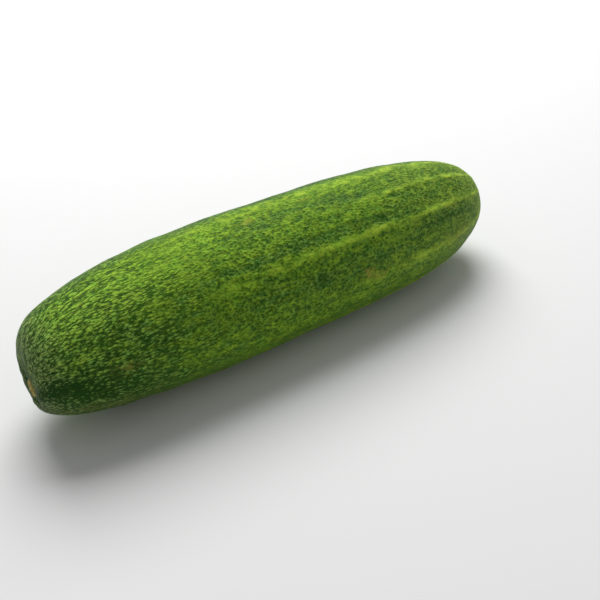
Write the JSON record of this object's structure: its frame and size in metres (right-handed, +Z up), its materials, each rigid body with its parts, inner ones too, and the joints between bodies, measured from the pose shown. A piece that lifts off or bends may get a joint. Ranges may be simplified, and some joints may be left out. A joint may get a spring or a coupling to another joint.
{
  "type": "cucumber",
  "caption": "Whole slicing cucumber lying on its belly: thick, gently tapered, blunt at the stem end, with mottled, low-ribbed green skin and a corky stem scar.",
  "frame": {"origin": "middle of the fruit's box in plan, on the surface that it lies on", "axes": "+X along the fruit from the stem end to the blossom end, +Z up, -Y the side that the picture shows"},
  "size_m": [0.1836, 0.0494, 0.048],
  "materials": {
    "cucumber_skin": "satin, faintly waxy skin, mottled from dark green at the stem end to pale yellow-green stripes at the blossom end"
  },
  "bodies": {
    "root": {"cucumber": "cucumber_skin"}
  },
  "joints": []
}
